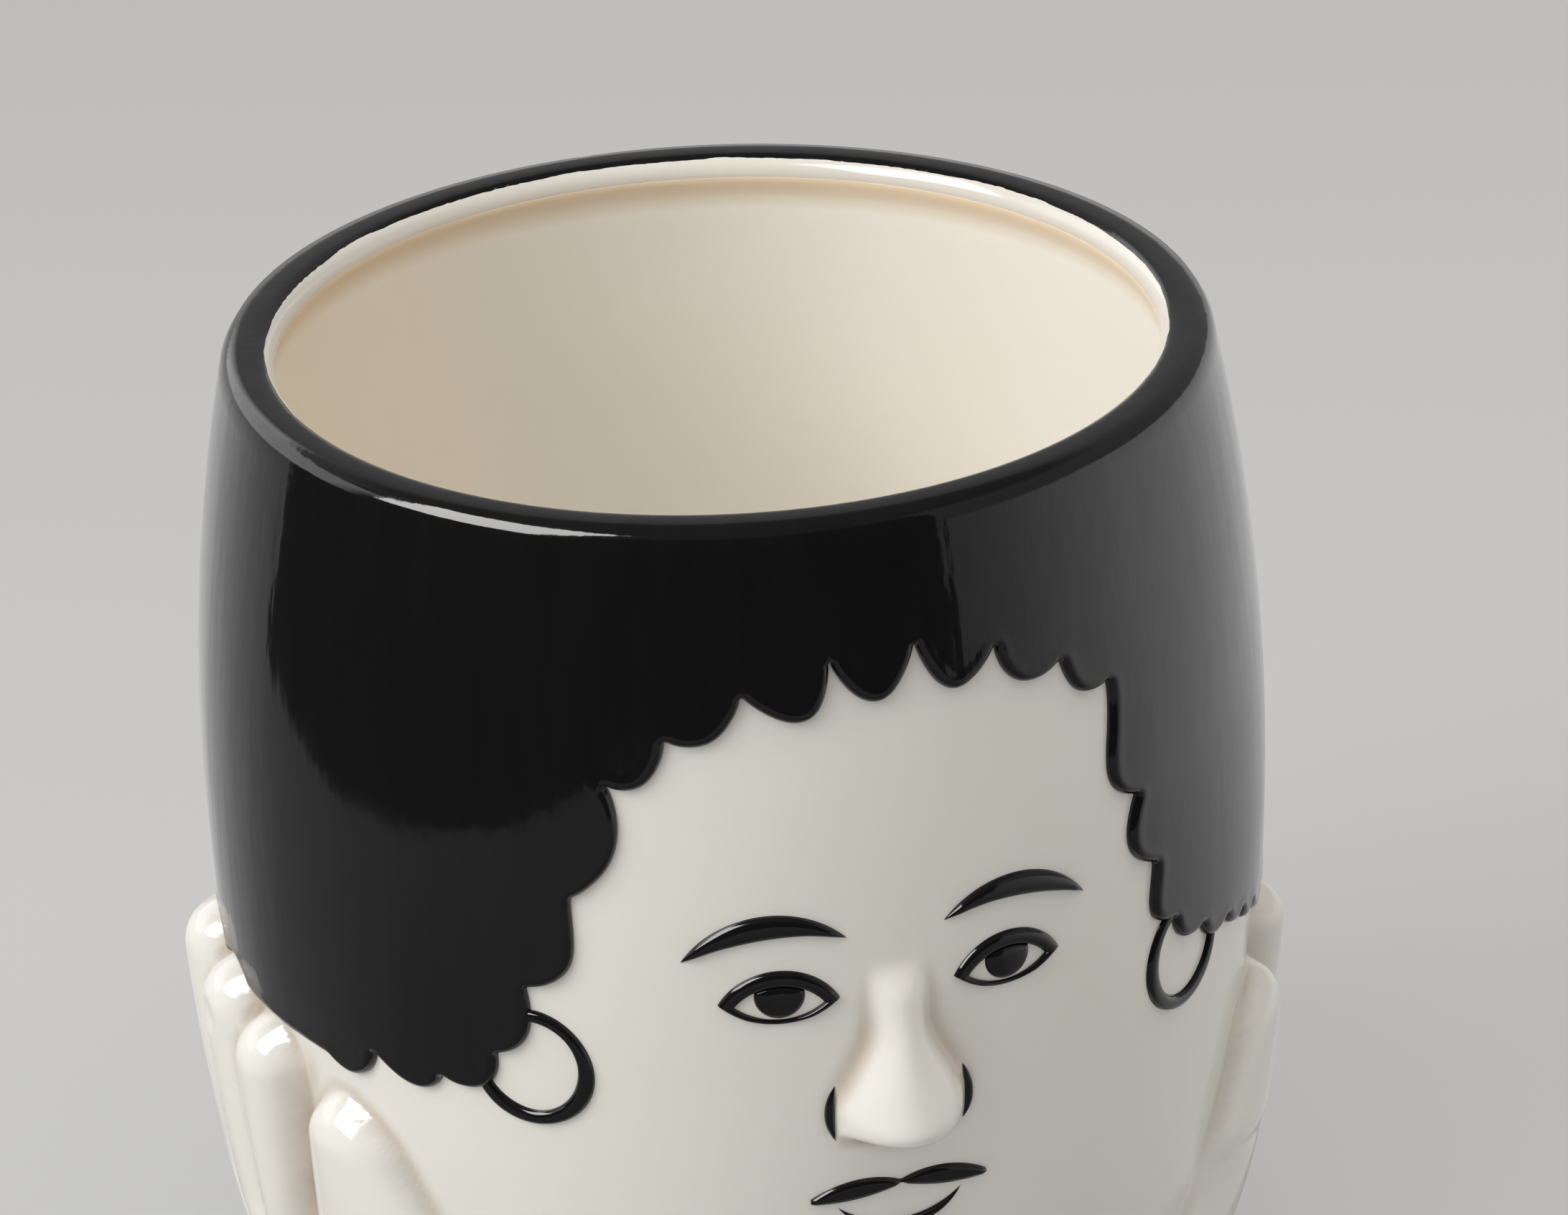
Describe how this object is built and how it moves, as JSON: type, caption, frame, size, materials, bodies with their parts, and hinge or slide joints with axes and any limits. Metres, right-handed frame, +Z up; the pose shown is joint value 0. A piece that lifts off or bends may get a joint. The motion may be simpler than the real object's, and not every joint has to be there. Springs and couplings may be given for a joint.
{
  "type": "ceramic planter",
  "caption": "Round ceramic planter shaped as a head with raised black hair over the rim, hands in relief at its sides, a glazed interior, a foot ring and a pull-out drain plug.",
  "frame": {"origin": "on the pot's axis, in the plane of the foot that it stands on", "axes": "+Z up along the pot's axis, -Y towards the face, +X to the right of someone who looks at the face"},
  "size_m": [0.1695, 0.1691, 0.168],
  "materials": {
    "white_glaze": "gloss white glaze, slightly warm",
    "black_glaze": "raised gloss black glaze",
    "cream_glaze": "satin cream glaze",
    "bare_ceramic": "unglazed matt body",
    "plug_rubber": "soft matt rubber"
  },
  "bodies": {
    "pot": {"pot_shell": "white_glaze", "foot_ring": "bare_ceramic", "interior_glaze": "cream_glaze", "hair_cap": "black_glaze", "left_hand": "white_glaze", "right_hand": "white_glaze", "nose": "white_glaze", "nose_wings": "black_glaze", "left_brow": "black_glaze", "right_brow": "black_glaze", "left_eye_line": "black_glaze", "right_eye_line": "black_glaze", "left_iris": "black_glaze", "right_iris": "black_glaze", "upper_lip": "black_glaze", "lower_lip": "black_glaze", "left_hoop": "black_glaze", "right_hoop": "black_glaze"},
    "plug": {"drain_plug": "plug_rubber"}
  },
  "joints": [
    {"name": "plug_pull", "type": "slide", "parent": "pot", "child": "plug", "axis": [0, 0, 1], "range_m": [0, 0.012]}
  ]
}
